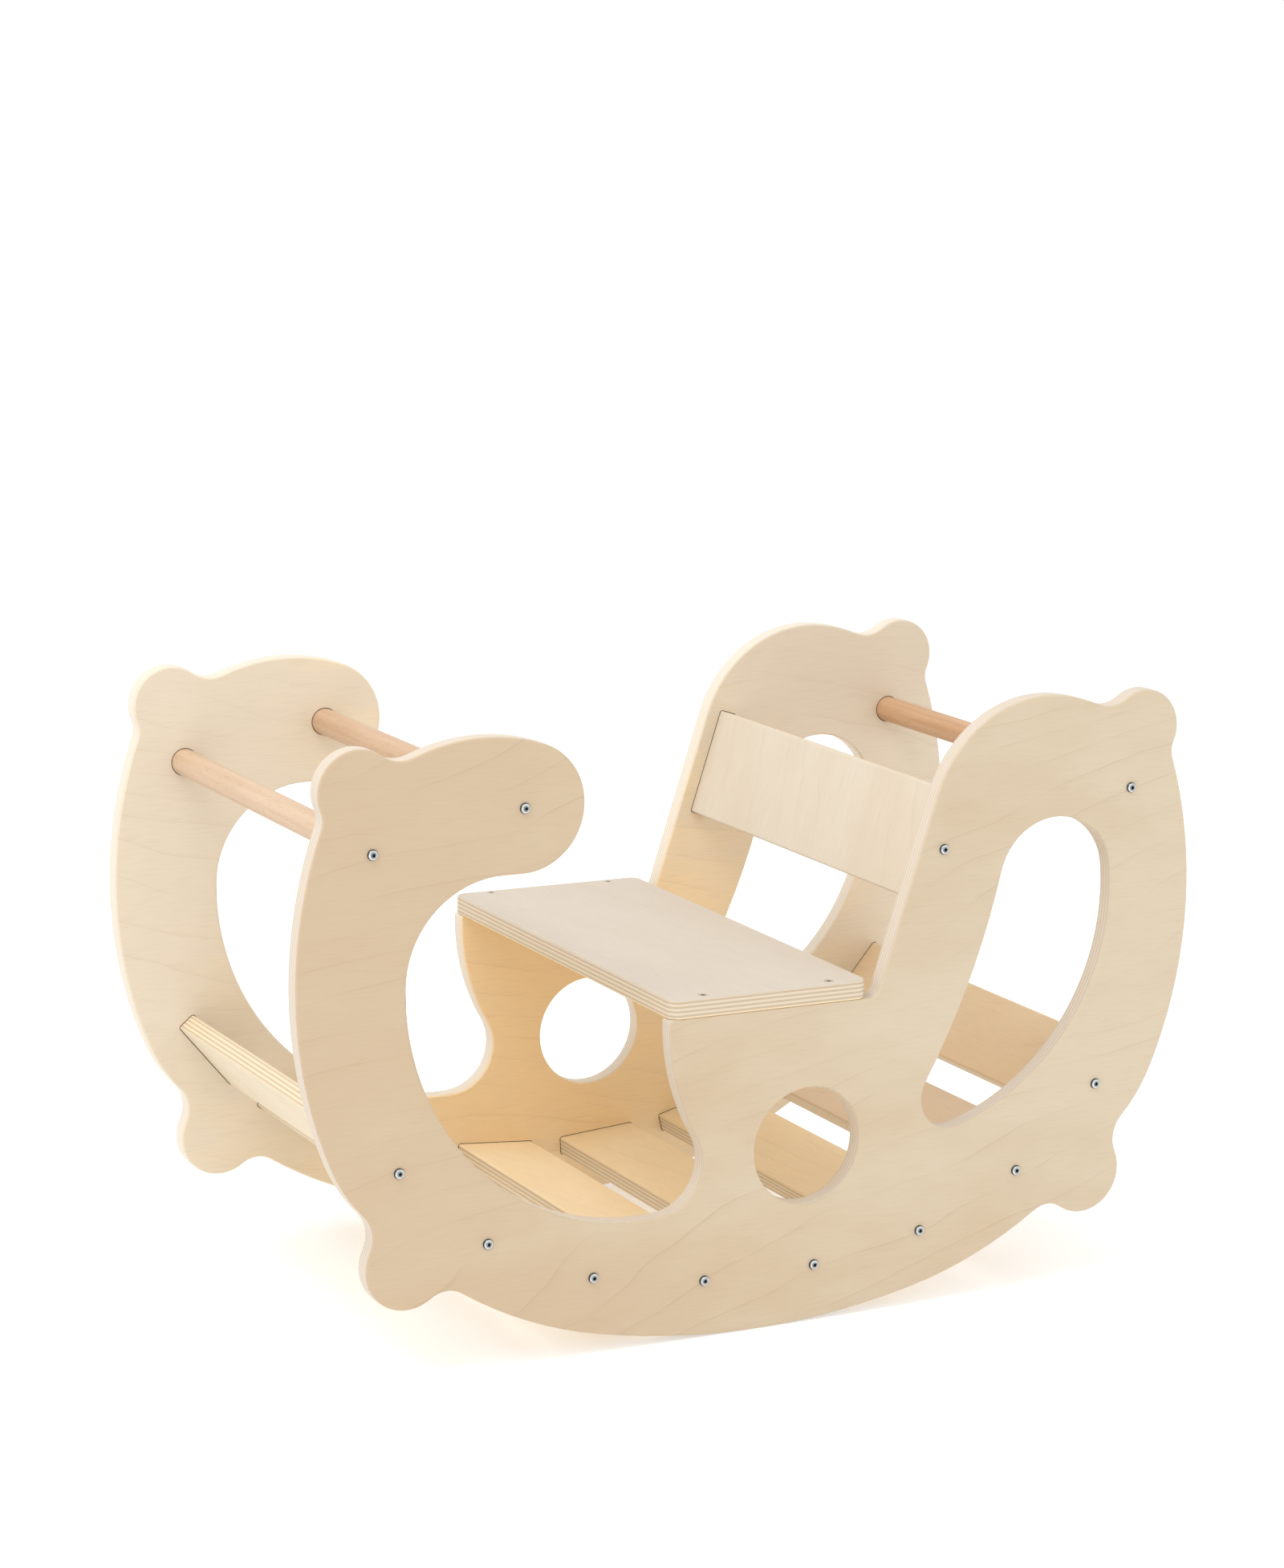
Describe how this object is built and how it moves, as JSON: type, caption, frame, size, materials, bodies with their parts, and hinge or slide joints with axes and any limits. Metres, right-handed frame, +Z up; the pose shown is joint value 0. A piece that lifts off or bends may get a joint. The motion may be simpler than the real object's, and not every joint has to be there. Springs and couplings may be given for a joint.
{
  "type": "rocking climbing arch",
  "caption": "Plywood rocking seat for a child: curved side panels joined by slats, round rails, a back rest and a seat; turned over it is a climbing arch.",
  "frame": {"origin": "on the floor under the middle of the runners, midway between the side panels", "axes": "+X from the hand rail towards the back rest, +Y from the left to the right side panel, +Z up"},
  "size_m": [0.9, 0.4614, 0.5624],
  "materials": {
    "panel_plywood": "satin clear lacquer",
    "slat_plywood": "satin clear lacquer",
    "back_rest_plywood": "satin clear lacquer",
    "seat_plywood": "satin clear lacquer",
    "beech": "satin clear lacquer",
    "zinc_steel": "zinc plated",
    "insert_steel": "zinc plated",
    "screw_steel": "zinc plated"
  },
  "bodies": {
    "root": {"left_side_panel": "panel_plywood", "right_side_panel": "panel_plywood", "back_rest_board": "back_rest_plywood", "seat_board": "seat_plywood", "hand_rail": "beech", "front_rail": "beech", "rear_rail": "beech", "runner_slat_1": "slat_plywood", "runner_slat_2": "slat_plywood", "runner_slat_3": "slat_plywood", "runner_slat_4": "slat_plywood", "runner_slat_5": "slat_plywood", "runner_slat_6": "slat_plywood", "runner_slat_7": "slat_plywood", "runner_slat_8": "slat_plywood", "slat_bolts": "zinc_steel", "back_rest_bolts": "zinc_steel", "rail_bolts": "zinc_steel", "slat_inserts": "insert_steel", "back_rest_inserts": "insert_steel", "rail_inserts": "insert_steel", "seat_screws": "screw_steel"}
  },
  "joints": []
}
